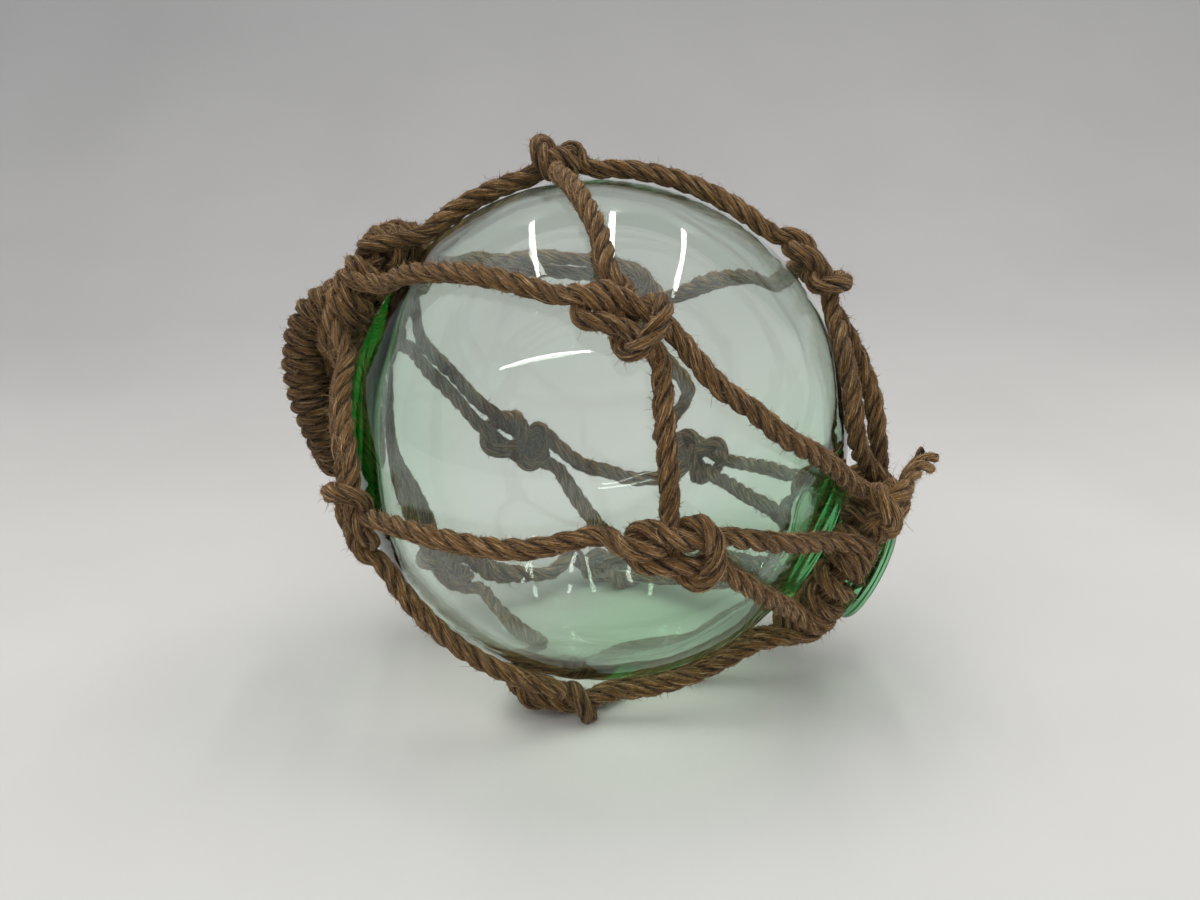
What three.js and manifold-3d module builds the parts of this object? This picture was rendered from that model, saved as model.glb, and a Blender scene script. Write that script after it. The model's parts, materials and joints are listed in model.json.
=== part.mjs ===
// Glass float ball in a knotted rope net, lying on its side.
// Millimetres, +Z up. X runs from the crown of the net (left) to the seal of the glass (right),
// and the front of the float faces -Y. The origin is below the ball, on the surface it lies on.
//
// Places on the ball are given as two angles from its centre, in degrees: az turns about +Z
// from the front (0) to the right (+90), and el rises from the horizontal towards the top.

import * as THREE from 'three';
import { mergeVertices } from 'three/addons/utils/BufferGeometryUtils.js';
import Module from 'manifold-3d';

const wasm = await Module();
wasm.setup();

// ---------------------------------------------------------------- driving dimensions

const BALL_RADIUS = 150;        // a 12 in float
const FLOOR_DROP = 155;         // height of the ball's centre above what it lies on
const BALL_OFFSET = [-6, 6.6];  // of the ball's centre from the middle of the float's box
const GAP = 0.3;                // between pieces that touch
const END_GAP = 1.4;            // between the ends of two pieces of one rope

const ROPE_RADIUS = 6.3;        // a 13 mm three-strand rope, drawn a little under its size
const ROPE_LIFT = 7.2;          // centre line of a rope above the glass it lies on
const KNOT_ROPE_RADIUS = 5.4;   // the rope is squeezed thinner inside a tight knot

const SEAL_AXIS = { az: 80, el: -27 };      // from the ball's centre to the seal
const CROWN_AXIS = { az: -104, el: 29 };    // from the ball's centre to the crown of the net

const NECK_RADIUS = 27;
const SEAL_RADIUS = 33;
const SEAL_BACK = 176.5;         // from the ball's centre to the back of the seal button
const SEAL_FACE = 188;          // and to its flat face
const SEAL_EDGE = 5;            // rounding of the button's edge
const SHOULDER = 24;            // degrees from the seal's axis where the round of the ball ends

const RING_TUBE = 13;           // the hitched rings: radius between two hitches
const RING_HITCH = 3;           // and what a hitch adds to it
const RING_MARGIN = 1.5;        // between a hitch and the drawn end of its rope
const CROWN_RING = { radius: 36, along: 163 };
const SEAL_RING = { radius: 45.5, along: 165.5 };
const SEAL_LIFT_ANGLE = 34;     // degrees from the seal's axis where ropes leave the ball

const KNOT_REACH = 8;           // how far a knot's ropes run on before the knot ends

const HANDLE_RADIUS = 11.8;     // served bundle
const TAIL_RADIUS = 5;

const BALL_SEGMENTS = 25;
const ROPE_SIDES = 6;
const ROPE_STEP = 28;           // along a rope, per straight facet
const KNOT_SIDES = 5;
const KNOT_STEP = 23;

// ---------------------------------------------------------------- knots and ropes

// Each knot is a sheet bend: the pair of ropes is its bight, and the line comes over the bight's
// closed end, down through it, round over both legs and out again below them. pair names the ring
// that its pair runs to, through and over name where the line's two ends go, and side is -1 where
// the knot is mirrored. turn leans the pair, in degrees.
const KNOTS = {
  top:         { az: -140, el: 82.5, pair: 'crown', through: 'right', over: 'front_high', side: 1 },
  front_high:  { az: 5, el: 38, pair: 'front_low', alsoTo: 'seal', through: 'crown', over: 'top', side: 1 },
  front_low:   { az: 12.5, el: -4.5, pair: 'seal', through: 'left', over: 'front_high', side: 1, turn: 14 },
  left:        { az: -59, el: -7.5, pair: 'crown', through: 'bottom', over: 'front_low', side: -1, turn: -28 },
  bottom:      { az: -22, el: -62.5, pair: 'seal', through: 'left_back', over: 'left', side: 1 },
  right:       { az: 86, el: 38, pair: 'seal', through: 'top', over: 'back_high', side: 1 },
  back_left:   { az: -157, el: -19, pair: 'crown', through: 'back_low', over: 'back_right', side: 1 },
  back_right:  { az: 149, el: -25, pair: 'seal', through: 'back_high', over: 'back_left', side: 1 },
  back_high:   { az: 173, el: 26, pair: 'crown', through: 'right', over: 'back_right', side: -1 },
  back_low:    { az: 168, el: -60, pair: 'seal', through: 'left_back', over: 'back_left', side: -1 },
  left_back:   { az: -115, el: -43, pair: 'crown', through: 'bottom', over: 'back_low', side: 1 },
};

// The knot's own rope, at its middle: along the pair, across it, and above the glass.
const BIGHT_LEG = [[26, 7.5, 8.6], [16, 6.8, 13.5], [4, 6.6, 16], [-8, 8.5, 15], [-15, 9, 11.5]];
const BIGHT_END = [-20, 0, 8];
const LINE_IN = [
  [-33, 0, 7.5], [-25, -0.5, 14.5], [-17, 0, 18.8], [-9.5, 0.5, 15.5], [-3, 1.5, 8.8], [3, 6, 5.8],
  [8, 11.5, 7], [12.5, 15, 13.5], [16.5, 10.5, 21], [19, 0, 24],
];
const LINE_OUT = [
  [19, 0, 24], [17.5, -9.5, 22], [13.5, -15, 14], [8.5, -12.5, 7], [2.5, -4, 9.5], [-1, 4, 9.5],
  [-3, 11, 8.2], [-3.5, 17, 7.2],
];

// Ropes that don't take the shortest way over the ball go by these places.
const BY_WAY_OF = {
  'bottom-left_back': [{ az: -62, el: -75 }],
  'bottom-seal-b': [{ az: 42, el: -74.5 }],
  'front_low-left': [{ az: -14, el: -5 }, { az: -40, el: -5.5 }],
  'front_high-top': [{ az: 4, el: 48 }, { az: 2, el: 58 }],
  'back_left-back_right': [{ az: -176, el: -27.5 }, { az: 166, el: -33 }],
  'back_high-back_right': [{ az: 166, el: 4 }, { az: 160, el: -9 }],
  'right-seal-b': [{ az: 71, el: 17 }],
  'front_high-seal-a': [{ az: 25, el: 24 }, { az: 38, el: 12.5 }],
  'back_high-right': [{ az: 146, el: 28 }, { az: 116, el: 33 }],
  'back_high-crown-a': [{ az: -152, el: 29 }],
  'back_high-crown-b': [{ az: -152, el: 34 }],
};

// Where the ropes of the seal's ring are hitched to it, in degrees round it. The ropes of the
// crown's ring are evenly spaced.
const SEAL_HITCHES = {
  'bottom-b': -100, 'back_low-b': -69, 'back_low-a': -43, 'back_right-a': -14, 'back_right-b': 12,
  'right-a': 60, 'right-b': 87, 'front_high-a': 120, 'front_low-a': 154, 'front_low-b': 205,
  'bottom-a': 231,
};

// The handle's centre line, from the middle of the crown's ring down and back to it.
const HANDLE_LINE = [
  [-148, 8, 82], [-160, 5, 82], [-171, 4, 72], [-177, 5, 54], [-178.5, 6, 34], [-174, 8, 12],
  [-168, 13, -10], [-168, 28, -24], [-173, 44, -14], [-178, 51, 8], [-182, 52, 30],
  [-180, 50, 52], [-170, 46, 70], [-158, 40, 80], [-148, 36, 82],
];

const TAIL_LINE = [
  [168, -61.5, -43], [176, -48, -34.5], [181.5, -34.5, -25], [188.5, -21, -22], [202, -7.5, -20.5],
];
const STOPPER_KNOT = { at: [164, -57, -31.5], radii: [14, 15, 15.5] };

// ---------------------------------------------------------------- places on the ball

const degrees = THREE.MathUtils.degToRad;

function direction({ az, el }) {
  const a = degrees(az);
  const e = degrees(el);
  return new THREE.Vector3(Math.sin(a) * Math.cos(e), -Math.cos(a) * Math.cos(e), Math.sin(e));
}

const POLES = { crown: direction(CROWN_AXIS), seal: direction(SEAL_AXIS) };

function placeOf(name) {
  return POLES[name] ?? direction(KNOTS[name]);
}

// How far from the ball's centre a rope's centre line lies, in a direction: on the glass, or
// rising from it to the ring behind the seal button.
function ropeDistance(towards) {
  const onGlass = BALL_RADIUS + ROPE_LIFT;
  const atRing = Math.hypot(SEAL_RING.radius, SEAL_RING.along);
  const ringAngle = THREE.MathUtils.radToDeg(Math.atan2(SEAL_RING.radius, SEAL_RING.along));
  const angle = THREE.MathUtils.radToDeg(towards.angleTo(POLES.seal));
  const rise = THREE.MathUtils.clamp((SEAL_LIFT_ANGLE - angle) / (SEAL_LIFT_ANGLE - ringAngle), 0, 1);
  return onGlass + (atRing - onGlass) * rise ** 1.6;
}

// The direction a part of the way from one direction to another, over the ball.
function between(a, b, part) {
  const angle = a.angleTo(b);
  const start = a.clone().multiplyScalar(Math.sin((1 - part) * angle));
  return start.addScaledVector(b, Math.sin(part * angle)).normalize();
}

function tangentTowards(at, target) {
  return target.clone().addScaledVector(at, -target.dot(at)).normalize();
}

// The direction reached by going over the ball from one direction towards another.
function stepTowards(from, target, distance) {
  const angle = distance / (BALL_RADIUS + ROPE_LIFT);
  const bearing = tangentTowards(from, target);
  return from.clone().multiplyScalar(Math.cos(angle)).addScaledVector(bearing, Math.sin(angle));
}

// ---------------------------------------------------------------- solids

function polygon(radius, sides) {
  const corners = Array.from({ length: sides }, (_, i) => {
    const turn = (i / sides) * 2 * Math.PI;
    return new THREE.Vector2(radius * Math.cos(turn), radius * Math.sin(turn));
  });
  return new THREE.Shape(corners);
}

function tube(points, radius, sides, stepLength = ROPE_STEP) {
  const curve = new THREE.CatmullRomCurve3(points, false, 'centripetal');
  const steps = Math.max(2, Math.round(curve.getLength() / stepLength));
  return new THREE.ExtrudeGeometry(polygon(radius, sides), {
    steps, extrudePath: curve, bevelEnabled: false,
  });
}

function toSolid(geometry) {
  const bare = geometry.clone();
  bare.deleteAttribute('normal');
  bare.deleteAttribute('uv');
  const merged = mergeVertices(bare, 1e-4);
  return new wasm.Manifold(new wasm.Mesh({
    numProp: 3,
    vertProperties: new Float32Array(merged.attributes.position.array),
    triVerts: new Uint32Array(merged.index.array),
  }));
}

function toGeometry(solid) {
  const mesh = solid.getMesh();
  const geometry = new THREE.BufferGeometry();
  geometry.setAttribute('position', new THREE.BufferAttribute(mesh.vertProperties, 3));
  geometry.setIndex(new THREE.BufferAttribute(mesh.triVerts, 1));
  return geometry;
}

function largestBody(solid) {
  return solid.decompose().sort((a, b) => b.volume() - a.volume())[0];
}

// What lies below the surface that the float rests on.
const underFloor = toSolid(
  new THREE.BoxGeometry(600, 600, 100).translate(0, 0, -FLOOR_DROP - 50),
);

// ---------------------------------------------------------------- the glass

// The ball, its shoulder, the short neck behind the seal and the button itself are one glass.
function glassProfile() {
  const points = [];
  const roundSteps = 14;
  for (let i = 0; i <= roundSteps; i += 1) {
    const angle = Math.PI - (i / roundSteps) * (Math.PI - degrees(SHOULDER));
    const radius = i === 0 ? 0 : BALL_RADIUS * Math.sin(angle);
    points.push(new THREE.Vector2(radius, BALL_RADIUS * Math.cos(angle)));
  }
  const end = points.at(-1);
  const neck = new THREE.Vector2(NECK_RADIUS, SEAL_BACK - 6);
  const elbow = new THREE.Vector2(NECK_RADIUS - 0.5, BALL_RADIUS);
  const shoulder = new THREE.QuadraticBezierCurve(end, elbow, neck);
  points.push(...shoulder.getPoints(4).slice(1));
  points.push(new THREE.Vector2(SEAL_RADIUS - 2, SEAL_BACK), new THREE.Vector2(SEAL_RADIUS, SEAL_BACK + 3));
  points.push(new THREE.Vector2(SEAL_RADIUS, SEAL_FACE - SEAL_EDGE));
  points.push(new THREE.Vector2(SEAL_RADIUS - SEAL_EDGE / 2, SEAL_FACE - SEAL_EDGE / 3));
  points.push(new THREE.Vector2(SEAL_RADIUS - 2 * SEAL_EDGE, SEAL_FACE), new THREE.Vector2(0, SEAL_FACE));
  return points;
}

function glassBall() {
  const geometry = new THREE.LatheGeometry(glassProfile(), BALL_SEGMENTS);
  const turn = new THREE.Quaternion().setFromUnitVectors(new THREE.Vector3(0, 1, 0), POLES.seal);
  return geometry.applyQuaternion(turn);
}

// ---------------------------------------------------------------- rings of the net

// A rope ring with a hitch for each of the ropes that end on it.
function hitchedRing(axis, ring, hitches, firstHitch, extra = 0) {
  const geometry = new THREE.TorusGeometry(ring.radius, RING_TUBE, 6, 3 * hitches);
  const position = geometry.attributes.position;
  const point = new THREE.Vector3();
  for (let i = 0; i < position.count; i += 1) {
    point.fromBufferAttribute(position, i);
    const around = Math.atan2(point.y, point.x);
    const core = new THREE.Vector3(Math.cos(around), Math.sin(around), 0).multiplyScalar(ring.radius);
    const bump = Math.max(0, Math.cos(hitches * around));
    point.sub(core).setLength(RING_TUBE + RING_HITCH * bump + extra).add(core);
    position.setXYZ(i, point.x, point.y, point.z);
  }
  const frame = ringFrame(axis);
  const turned = new THREE.Matrix4().makeBasis(frame.across, frame.along, axis);
  geometry.rotateZ(firstHitch);
  geometry.translate(0, 0, ring.along);
  return geometry.applyMatrix4(turned);
}

function ringFrame(axis) {
  const across = new THREE.Vector3(0, 0, 1).cross(axis).normalize();
  const along = axis.clone().cross(across);
  return { across, along };
}

function ringAngle(axis, towards) {
  const { across, along } = ringFrame(axis);
  return Math.atan2(towards.dot(along), towards.dot(across));
}

// The ropes that end on a ring, in order round it, with the place of each one's hitch.
function ringLegs(pole) {
  const axis = POLES[pole];
  const legs = [];
  for (const [name, knot] of Object.entries(KNOTS)) {
    const { out, across } = knotFrame(name);
    const angle = ringAngle(axis, out);
    if (knot.pair === pole) {
      for (const [leg, side] of [['a', 1], ['b', -1]]) {
        const port = out.clone().addScaledVector(across, side * 0.05);
        legs.push({ knot: name, leg, angle: ringAngle(axis, port) });
      }
    }
    if (knot.through === pole) legs.push({ knot: name, leg: 'through', angle });
    if (knot.alsoTo === pole) legs.push({ knot: name, leg: 'a', angle });
  }
  legs.sort((one, other) => one.angle - other.angle);
  const spacing = (2 * Math.PI) / legs.length;
  const shift = legs.reduce((sum, leg, i) => sum + leg.angle - i * spacing, 0) / legs.length;
  legs.forEach((leg, i) => {
    const set = SEAL_HITCHES[`${leg.knot}-${leg.leg}`];
    leg.hitch = pole === 'seal' ? degrees(set) : shift + i * spacing;
  });
  return legs;
}

const LEGS = { crown: ringLegs('crown'), seal: ringLegs('seal') };

// The direction from the ball's centre to a hitch on a ring.
function hitchDirection(pole, angle) {
  const axis = POLES[pole];
  const ring = pole === 'crown' ? CROWN_RING : SEAL_RING;
  const { across, along } = ringFrame(axis);
  const out = across.multiplyScalar(Math.cos(angle)).addScaledVector(along, Math.sin(angle));
  return out.multiplyScalar(ring.radius).addScaledVector(axis, ring.along).normalize();
}

// ---------------------------------------------------------------- knots of the net

function legTarget(name, leg) {
  const knot = KNOTS[name];
  const via = BY_WAY_OF[runKey(name, leg)];
  if (via) return direction(name === runKey(name, leg).split('-')[0] ? via[0] : via.at(-1));
  for (const pole of ['crown', 'seal']) {
    const found = LEGS[pole].find((one) => one.knot === name && one.leg === leg);
    if (found) return hitchDirection(pole, found.hitch);
  }
  const next = { a: knot.pair, b: knot.pair, through: knot.through, over: knot.over }[leg];
  return placeOf(next);
}

// The name of the run that a knot's rope goes on into.
function runKey(name, leg) {
  const knot = KNOTS[name];
  for (const pole of ['crown', 'seal']) {
    if (LEGS[pole].some((one) => one.knot === name && one.leg === leg)) return `${name}-${pole}-${leg}`;
  }
  const next = { b: knot.pair, through: knot.through, over: knot.over }[leg];
  return [name, next].sort().join('-');
}

function knotFrame(name) {
  const knot = KNOTS[name];
  const out = direction(knot);
  const along = tangentTowards(out, placeOf(knot.alsoTo ?? knot.pair))
    .applyAxisAngle(out, degrees(knot.turn ?? 0));
  const across = out.clone().cross(along).multiplyScalar(knot.side);
  return { out, along, across };
}

// A point of a knot: u along its pair, v across it, both over the glass, and h above the glass.
function knotPoint({ out, along, across }, [u, v, h]) {
  const reach = Math.hypot(u, v);
  if (reach === 0) return out.clone().multiplyScalar(BALL_RADIUS + h);
  const angle = reach / (BALL_RADIUS + ROPE_LIFT);
  const sideways = along.clone().multiplyScalar(u / reach).addScaledVector(across, v / reach);
  return out.clone().multiplyScalar(Math.cos(angle)).addScaledVector(sideways, Math.sin(angle))
    .multiplyScalar(BALL_RADIUS + h);
}

// Where a knot's ropes come out of its turns.
const KNOT_MOUTHS = {
  a: BIGHT_LEG[0],
  b: [BIGHT_LEG[0][0], -BIGHT_LEG[0][1], BIGHT_LEG[0][2]],
  through: LINE_IN[0],
  over: LINE_OUT.at(-1),
};

// Where a knot's rope leaves it for its next stop.
function knotPort(name, leg) {
  const mouth = knotPoint(knotFrame(name), KNOT_MOUTHS[leg]).normalize();
  const port = stepTowards(mouth, legTarget(name, leg), KNOT_REACH);
  return port.multiplyScalar(ropeDistance(port));
}

function knotSolid(name) {
  const frame = knotFrame(name);
  const legOut = BIGHT_LEG.map((place) => knotPoint(frame, place));
  const legBack = BIGHT_LEG.map(([u, v, h]) => knotPoint(frame, [u, -v, h])).reverse();
  const bight = [
    knotPort(name, 'a'), ...legOut, knotPoint(frame, BIGHT_END), ...legBack, knotPort(name, 'b'),
  ];
  const lineIn = [knotPort(name, 'through'), ...LINE_IN.map((place) => knotPoint(frame, place))];
  const lineOut = [...LINE_OUT.map((place) => knotPoint(frame, place)), knotPort(name, 'over')];
  const [first, ...others] = [bight, lineIn, lineOut]
    .map((points) => toSolid(tube(points, KNOT_ROPE_RADIUS, KNOT_SIDES, KNOT_STEP)));
  const solid = others.reduce((whole, rope) => whole.add(rope), first);
  return largestBody(solid.subtract(underFloor));
}

// ---------------------------------------------------------------- ropes between the knots

// A rope over the ball from one point to another, short of both by the gap.
function ropeRun(from, to, key) {
  const start = from.clone().normalize();
  const end = to.clone().normalize();
  const via = BY_WAY_OF[key];
  const places = via ? via.map(direction) : [];
  if (places.length > 1 && places[0].angleTo(start) > places.at(-1).angleTo(start)) places.reverse();
  const stops = [start, ...places, end];
  const parts = via ? [0, 0.5] : [0, 0.25, 0.5, 0.75];
  const points = [];
  for (let i = 1; i < stops.length; i += 1) {
    for (const part of parts) {
      const towards = between(stops[i - 1], stops[i], part);
      points.push(towards.multiplyScalar(ropeDistance(towards)));
    }
  }
  points.push(end.clone().multiplyScalar(ropeDistance(end)));
  const ease = points[1].clone().sub(points[0]).setLength(END_GAP);
  points[0].add(ease);
  const easeBack = points.at(-2).clone().sub(points.at(-1)).setLength(END_GAP);
  points.at(-1).add(easeBack);
  return points;
}

function ropeSolid(points) {
  return toSolid(tube(points, ROPE_RADIUS, ROPE_SIDES)).subtract(underFloor);
}

// ---------------------------------------------------------------- the float

const glassFinish = { color: 0xbfe0cf, roughness: 0.05, metalness: 0, transparent: true, opacity: 0.45 };
const ropeFinish = { color: 0x8a6a48, roughness: 0.95, metalness: 0 };
const servingFinish = { color: 0x7a5c3c, roughness: 0.95, metalness: 0 };

const float = new THREE.Group();
float.name = 'glass_float';

function addPiece(name, geometry, finish) {
  geometry.computeVertexNormals();
  const mesh = new THREE.Mesh(geometry, new THREE.MeshStandardMaterial(finish));
  mesh.name = name;
  float.add(mesh);
  return mesh;
}

addPiece('glass_ball', glassBall(), glassFinish);

for (const name of Object.keys(KNOTS)) {
  addPiece(`knot_${name}`, toGeometry(knotSolid(name)), ropeFinish);
}

// Ropes from knot to knot: each line's end that meets another line's end, drawn once.
const joined = new Set();
for (const [name, knot] of Object.entries(KNOTS)) {
  for (const leg of ['through', 'over', 'b']) {
    const next = { through: knot.through, over: knot.over, b: knot.pair }[leg];
    const key = [name, next].sort().join('-');
    if (!KNOTS[next] || joined.has(key)) continue;
    joined.add(key);
    const other = KNOTS[next];
    const otherLeg = { [other.through]: 'through', [other.over]: 'over', [other.pair]: 'b' }[name];
    const points = ropeRun(knotPort(name, leg), knotPort(next, otherLeg), key);
    addPiece(`rope_${name}_to_${next}`, toGeometry(ropeSolid(points)), ropeFinish);
  }
}

// The two rings, and the ropes that end on them.
for (const [pole, ring] of [['crown', CROWN_RING], ['seal', SEAL_RING]]) {
  const legs = LEGS[pole];
  const first = legs[0].hitch;
  const ringGeometry = hitchedRing(POLES[pole], ring, legs.length, first);
  addPiece(`${pole}_ring`, ringGeometry, ropeFinish);
  const cutter = toSolid(hitchedRing(POLES[pole], ring, legs.length, first, GAP));
  for (const { knot, leg, hitch } of legs) {
    const key = `${knot}-${pole}-${leg}`;
    const from = knotPort(knot, leg);
    const last = BY_WAY_OF[key] ? direction(BY_WAY_OF[key].at(-1)) : from.clone().normalize();
    const end = stepTowards(hitchDirection(pole, hitch), last, RING_TUBE + RING_HITCH + RING_MARGIN);
    const solid = largestBody(ropeSolid(ropeRun(from, end, key)).subtract(cutter));
    addPiece(`rope_${knot}_to_${pole}_${leg}`, toGeometry(solid), ropeFinish);
  }
  if (pole === 'crown') {
    const line = HANDLE_LINE.map((place) => new THREE.Vector3(...place));
    const handle = toSolid(tube(line, HANDLE_RADIUS, 8, 17)).subtract(cutter);
    addPiece('crown_handle', toGeometry(largestBody(handle)), servingFinish);
  } else {
    const tail = toSolid(tube(TAIL_LINE.map((place) => new THREE.Vector3(...place)), TAIL_RADIUS, 8, 9));
    const [rx, ry, rz] = STOPPER_KNOT.radii;
    const stopper = new THREE.SphereGeometry(1, 10, 7).scale(rx, ry, rz).translate(...STOPPER_KNOT.at);
    const knotted = toSolid(stopper).add(tail).subtract(cutter);
    addPiece('stopper_knot_and_tail', toGeometry(largestBody(knotted)), ropeFinish);
  }
}

float.position.set(...BALL_OFFSET, FLOOR_DROP);

export default float;
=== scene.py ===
"""Glass float ball in a knotted rope net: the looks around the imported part."""

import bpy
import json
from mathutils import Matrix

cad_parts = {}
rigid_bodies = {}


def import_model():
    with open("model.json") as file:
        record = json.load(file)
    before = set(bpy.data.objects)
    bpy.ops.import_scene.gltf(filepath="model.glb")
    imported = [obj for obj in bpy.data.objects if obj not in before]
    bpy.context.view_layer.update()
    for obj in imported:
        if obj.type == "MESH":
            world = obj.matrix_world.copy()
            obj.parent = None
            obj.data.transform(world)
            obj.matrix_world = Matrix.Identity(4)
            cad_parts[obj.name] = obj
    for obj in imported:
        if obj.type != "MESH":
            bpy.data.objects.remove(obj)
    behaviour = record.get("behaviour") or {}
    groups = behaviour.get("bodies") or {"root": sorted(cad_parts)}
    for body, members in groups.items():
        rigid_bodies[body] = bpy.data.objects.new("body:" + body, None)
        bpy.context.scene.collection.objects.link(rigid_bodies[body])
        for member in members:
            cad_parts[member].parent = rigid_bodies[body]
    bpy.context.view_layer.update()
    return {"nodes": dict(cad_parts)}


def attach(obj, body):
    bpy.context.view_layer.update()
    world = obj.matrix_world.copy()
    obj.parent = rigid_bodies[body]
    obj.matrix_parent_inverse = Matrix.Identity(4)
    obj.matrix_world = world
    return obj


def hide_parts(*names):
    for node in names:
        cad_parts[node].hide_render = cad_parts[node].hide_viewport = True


bl_info = {
    "name": "Netted Glass Float",
    "version": (1, 0, 0),
    "blender": (4, 5, 0),
    "location": "3D View > Sidebar > Glass Float",
    "description": "Builds a blown glass float in a hitched and knotted rope net",
    "category": "Add Mesh",
}

import json
import math

import bpy
import numpy as np
from mathutils import Matrix, Vector

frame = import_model()

MM = 0.001
GLASS_SLOT, ROPE_SLOT, SERVING_SLOT = "glass", "rope", "serving"
PAIR_GAP = 6.2                  # a paired rope's middle from the middle of the pair
STRANDS = 3                     # strands in a rope
STRAND_SHARE = 0.488            # a strand's thickness to the rope's
YARNS = 5.0                     # yarns that show round a strand
ROPE_SIDES = 11                 # sides of a strand's tube
PATH_STEP = 1.7                 # between two rings of that tube
TIGHT = 0.9                     # thickness of a rope wound round another, to its own

# First numbers of the random draws, by what is drawn.
SEEDS = dict(
    line=1, pairs=2, turns=51, ring=31, lashing=33, wobble=5, serving=7, stopper=41, tail=43, fibres=77)

# ---------------------------------------------------------------- the net's plan
# It follows the CAD's. The seal's ring, the closed knots and some ways differ a little from it.

BALL_CENTRE = np.array([-6.0, 6.6, 155.0])
BALL_RADIUS = 150.0
ROPE_LIFT = 6.7                 # centre line of a rope above the glass it lies on
SEAL_AXIS = (80.0, -27.0)
CROWN_AXIS = (-104.0, 29.0)
CROWN_RING = {"radius": 36.0, "along": 163.0}
SEAL_RING = {"radius": 45.5, "along": 161.0}    # nearer the ball than in the CAD
SEAL_LIFT_ANGLE = 34.0          # from the seal's axis, where ropes begin to rise to its ring
HEEL_AT = (-100.0, 0.0)         # where the glass is thickest near the crown
HEEL_REACH = (12, 54)           # degrees from there: all of the extra glass, and none of it
SEAL_POOL_AT = (60.0, -44.0)    # and round the seal, more on its lower side
SEAL_POOL_REACH = (30, 80)

# The glass beyond the ball, as radius and distance along the seal's axis.
NECK_FROM = 156                 # degrees round the ball
NECK_ELBOW, NECK_END = (26.5, 150.0), (27.0, 170.5)
COLLAR = [(27.6, 173.6), (29.6, 175.9), (31.6, 177.2)]
DISC_EDGE, DISC_EDGE_RADIUS = (28.4, 182.9), 4.6
DISC_FACE = [(25.0, 187.9), (20.0, 188.0), (14.0, 187.6), (7.0, 187.1), (0.0, 187.0)]

# Each knot's middle, in degrees of az and el, and what its pair of ropes goes to. also is where one of
# the two goes instead, and through the ring that the long line begins at. side is the knot's hand, and
# turn its turn in degrees. close is its length to the pattern's, its shift in mm, and its height.
KNOTS = {
    "top": dict(at=(-140, 82.5), pair="crown", side=1, close=(0.45, 6, 1.0)),
    "front_high": dict(at=(5, 38), pair="front_low", also="seal", through="crown", side=1),
    "front_low": dict(at=(12.5, -4.5), pair="seal", side=1, turn=14),
    "left": dict(at=(-59, -7.5), pair="crown", side=-1, turn=-28, close=(0.85, 0, 0.7)),
    "bottom": dict(at=(-22, -62.5), pair="seal", side=1, close=(0.88, 2, 0.85)),
    "right": dict(at=(86, 38), pair="seal", side=1, close=(0.85, 0, 0.8)),
    "back_left": dict(at=(-157, -19), pair="crown", side=1),
    "back_right": dict(at=(149, -25), pair="seal", side=1),
    "back_high": dict(at=(173, 26), pair="crown", side=-1),
    "back_low": dict(at=(168, -60), pair="seal", side=-1),
    "left_back": dict(at=(-115, -43), pair="crown", side=1),
}

# A knot's rope at its middle: along the pair, across it, and above the glass.
BIGHT_LEG = [(26, 7.5, 8.6), (16, 6.8, 13.5), (4, 6.6, 16), (-8, 8.5, 15), (-15, 9, 11.5)]
BIGHT_END = (-20, 0, 8)
LINE_IN = [
    (-33, 0, 7.5), (-25, -0.5, 14.5), (-17, 0, 18.8), (-9.5, 0.5, 15.5), (-3, 1.5, 8.8), (3, 6, 5.8),
    (8, 11.5, 7), (12.5, 15, 13.5), (16.5, 10.5, 21), (19, 0, 24),
]
LINE_OUT = [
    (17.5, -9.5, 22), (13.5, -15, 14), (8.5, -12.5, 7), (2.5, -4, 9.5), (-1, 4, 9.5), (-3, 11, 8.2),
    (-3.5, 17, 7.2),
]

# Places a rope passes on its way, in az and el. A third number lifts it there, in mm.
BY_WAY_OF = {
    "bottom-left_back": [(-62, -75)],
    "bottom-seal-b": [(42, -74.5)],
    "front_low-left": [(-14, -5), (-40, -5.5)],
    "front_high-top": [(4, 48), (2, 58)],
    "back_left-back_right": [(-176, -27.5), (166, -33)],
    "back_high-back_right": [(162, 3), (154.5, -7)],
    "back_low-left_back": [(-130, -53), (-156, -60)],
    "front_high-seal-a": [(25, 24), (38, 12.5)],
    "right-seal-a": [(84, 20, 3), (82, 8, 8), (80, -4, 7)],
    "right-seal-b": [(72, 22), (69.8, 14), (69, 4)],
    "back_high-right": [(146, 26), (116, 31.5)],
    "back_high-crown-a": [(-152, 29)],
    "back_high-crown-b": [(-152, 34)],
}
# Where each rope is hitched round the seal's ring, in degrees.
SEAL_HITCHES = {
    "bottom-b": -100, "back_low-b": -69, "back_low-a": -43, "back_right-a": -14, "back_right-b": 12,
    "right-a": 60, "right-b": 87, "front_high-a": 120, "front_low-a": 154, "front_low-b": 205,
    "bottom-a": 231,
}

# Where each ring is lashed over with turns of rope: from and to, in degrees, and how many.
LASHINGS = {"crown": (275, 385, 5.5), "seal": (100, 250, 9.5)}

# Thickness and lay of a ring's core and of its lashing, and how far from the core its turns run.
RING_CORE = {"radius": 5.2, "lay": 30.0}
LASHING = {"radius": 5.6, "lay": 34.0, "reach": 10.0}
# A hitch's turns round a ring, how far out and wide they are, where they start, and the end's tuck.
HITCH = {"turns": 1.3, "reach": 10.3, "spread": 5.6, "start": 38, "steps": 13, "tuck": 4.0}

# Turns of rope wound round the pairs and hitches by a ring: from, to, reach and pitch.
EXTRA_TURNS = {"crown": [((-136, 16, 112), (-114, 31, 112), 8.0, 10.5)]}

# The one long line of the net, knot by knot, and whether it goes in over the bight's end.
LINE_ORDER = [
    ("front_high", True), ("top", False), ("right", True), ("back_high", True),
    ("back_right", True), ("back_left", False), ("back_low", False), ("left_back", False),
    ("bottom", True), ("left", True), ("front_low", True),
]

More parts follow.
